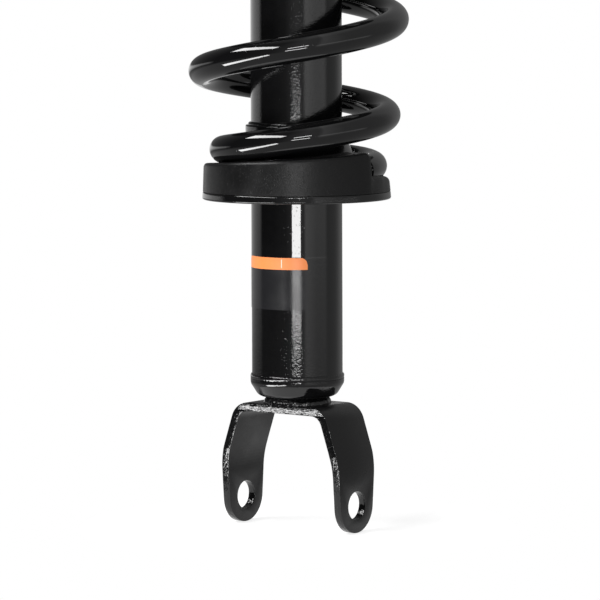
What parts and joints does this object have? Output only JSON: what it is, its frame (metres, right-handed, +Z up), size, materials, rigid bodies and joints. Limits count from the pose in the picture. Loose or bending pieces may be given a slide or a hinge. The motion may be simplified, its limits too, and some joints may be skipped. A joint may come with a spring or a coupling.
{
  "type": "strut assembly",
  "caption": "Loaded front strut for a light truck: gas damper on a forked lower bracket, with coil spring, rubber insulators, bump stop, dust boot and a studded upper mount.",
  "frame": {"origin": "middle of the fork bolt's axis, halfway between the two ears", "axes": "+X along the fork bolt, +Z up the strut towards the upper mount, +Y completes a right-handed set; the strut is stored at full droop"},
  "size_m": [0.1468, 0.1468, 0.5826],
  "materials": {
    "satin_black_steel": "satin",
    "gloss_black_steel": "gloss",
    "spring_paint": "gloss",
    "insulator_rubber": "matte",
    "bush_rubber": "matte",
    "boot_rubber": "satin",
    "seal_rubber": "matte",
    "bumper_foam": "matte",
    "bright_steel": "ground",
    "zinc_steel": "zinc plated",
    "chromed_rod": "polished hard chrome",
    "sintered_iron": "sintered",
    "bush_lining": "bronze lining",
    "band_plastic": "filled low-friction plastic"
  },
  "bodies": {
    "strut_body": {"fork_bracket": "satin_black_steel", "fork_weld": "gloss_black_steel", "base_cup": "gloss_black_steel", "base_weld": "gloss_black_steel", "reserve_tube": "gloss_black_steel", "lower_spring_seat": "gloss_black_steel", "seat_weld": "gloss_black_steel", "lower_insulator": "insulator_rubber", "coil_spring": "spring_paint", "pressure_tube": "bright_steel", "base_valve": "sintered_iron", "base_valve_shims": "bright_steel", "base_valve_bolt": "zinc_steel", "rod_guide": "sintered_iron", "guide_bush": "bush_lining", "oil_seal": "seal_rubber", "strike_cap": "zinc_steel", "dust_boot": "boot_rubber"},
    "rod_assembly": {"piston_rod": "chromed_rod", "rebound_stop": "bright_steel", "rebound_pad": "seal_rubber", "piston": "sintered_iron", "piston_band": "band_plastic", "piston_shims": "bright_steel", "piston_nut": "zinc_steel", "jounce_bumper": "bumper_foam", "bumper_cup": "zinc_steel", "lower_retainer": "zinc_steel", "mount_sleeve": "zinc_steel", "mount_bush": "bush_rubber", "upper_insulator": "insulator_rubber", "upper_spring_seat": "gloss_black_steel", "mount_plate": "satin_black_steel", "mount_studs": "zinc_steel", "upper_retainer": "zinc_steel", "rod_nut": "zinc_steel"}
  },
  "joints": [
    {"name": "rod_stroke", "type": "slide", "parent": "strut_body", "child": "rod_assembly", "axis": [0, 0, -1], "range_m": [0, 0.115], "stiffness_N_per_m": 105000, "springref_m": -0.03, "deforming": ["coil_spring", "dust_boot", "jounce_bumper"]}
  ]
}
